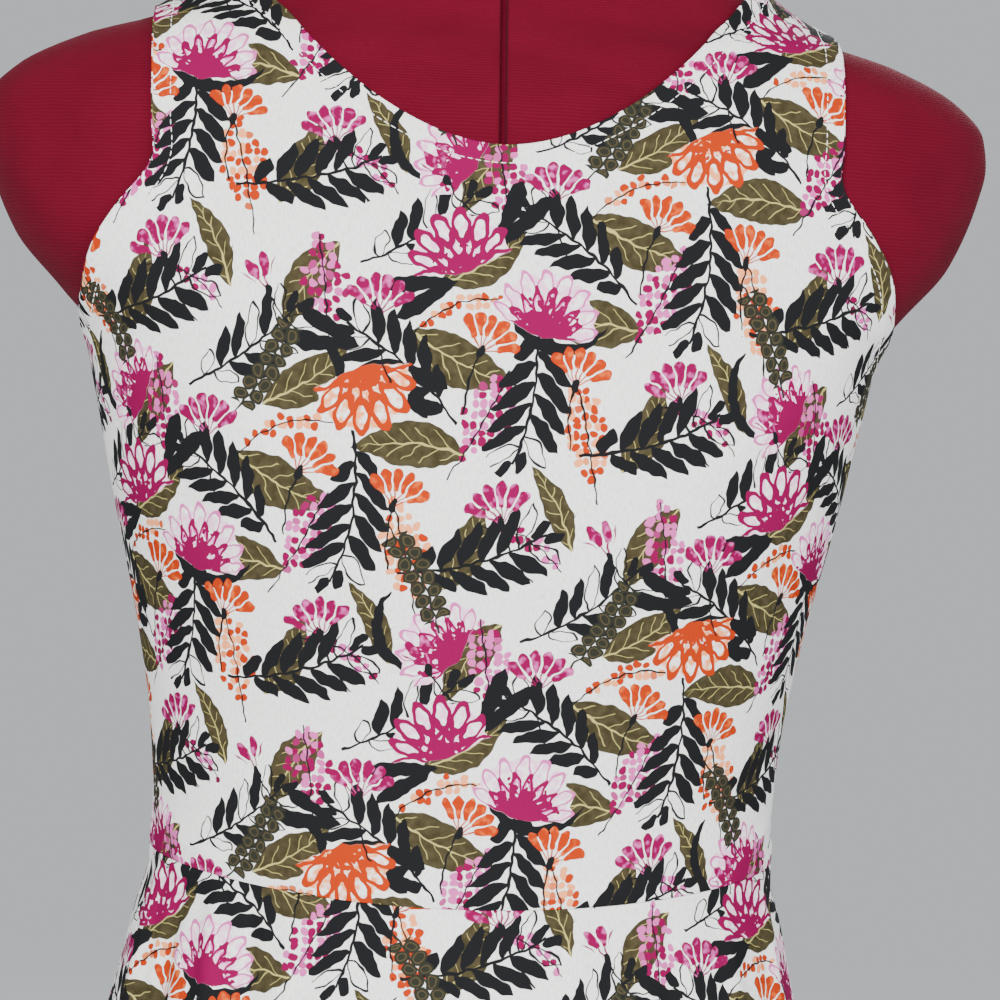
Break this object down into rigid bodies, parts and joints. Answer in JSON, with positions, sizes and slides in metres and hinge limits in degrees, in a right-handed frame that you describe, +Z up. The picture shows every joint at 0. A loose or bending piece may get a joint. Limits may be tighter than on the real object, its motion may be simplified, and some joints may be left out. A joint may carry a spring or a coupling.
{
  "type": "sundress on a limbless dress form",
  "caption": "Sleeveless floral jersey sundress with a scooped neck and a flared skirt, standing on a knit-covered limbless dress form with a pole and round base.",
  "frame": {"origin": "on the floor, under the middle of the whole object", "axes": "+Z up, -Y towards the front of the dress, +X to the viewer's right when facing its front"},
  "size_m": [0.484, 0.3845, 1.1673],
  "materials": {
    "printed_jersey": "off-white cotton jersey with an all-over floral print",
    "form_knit": "deep red fine ribbed knit, matt",
    "stand_black": "satin black enamel",
    "pole_steel": "brushed steel"
  },
  "bodies": {
    "root": {"bodice_front": "printed_jersey", "bodice_back": "printed_jersey", "skirt_front": "printed_jersey", "skirt_back": "printed_jersey", "form_chest": "form_knit", "form_hips": "form_knit", "neck_cap": "stand_black", "pole": "pole_steel", "base": "stand_black"}
  },
  "joints": []
}
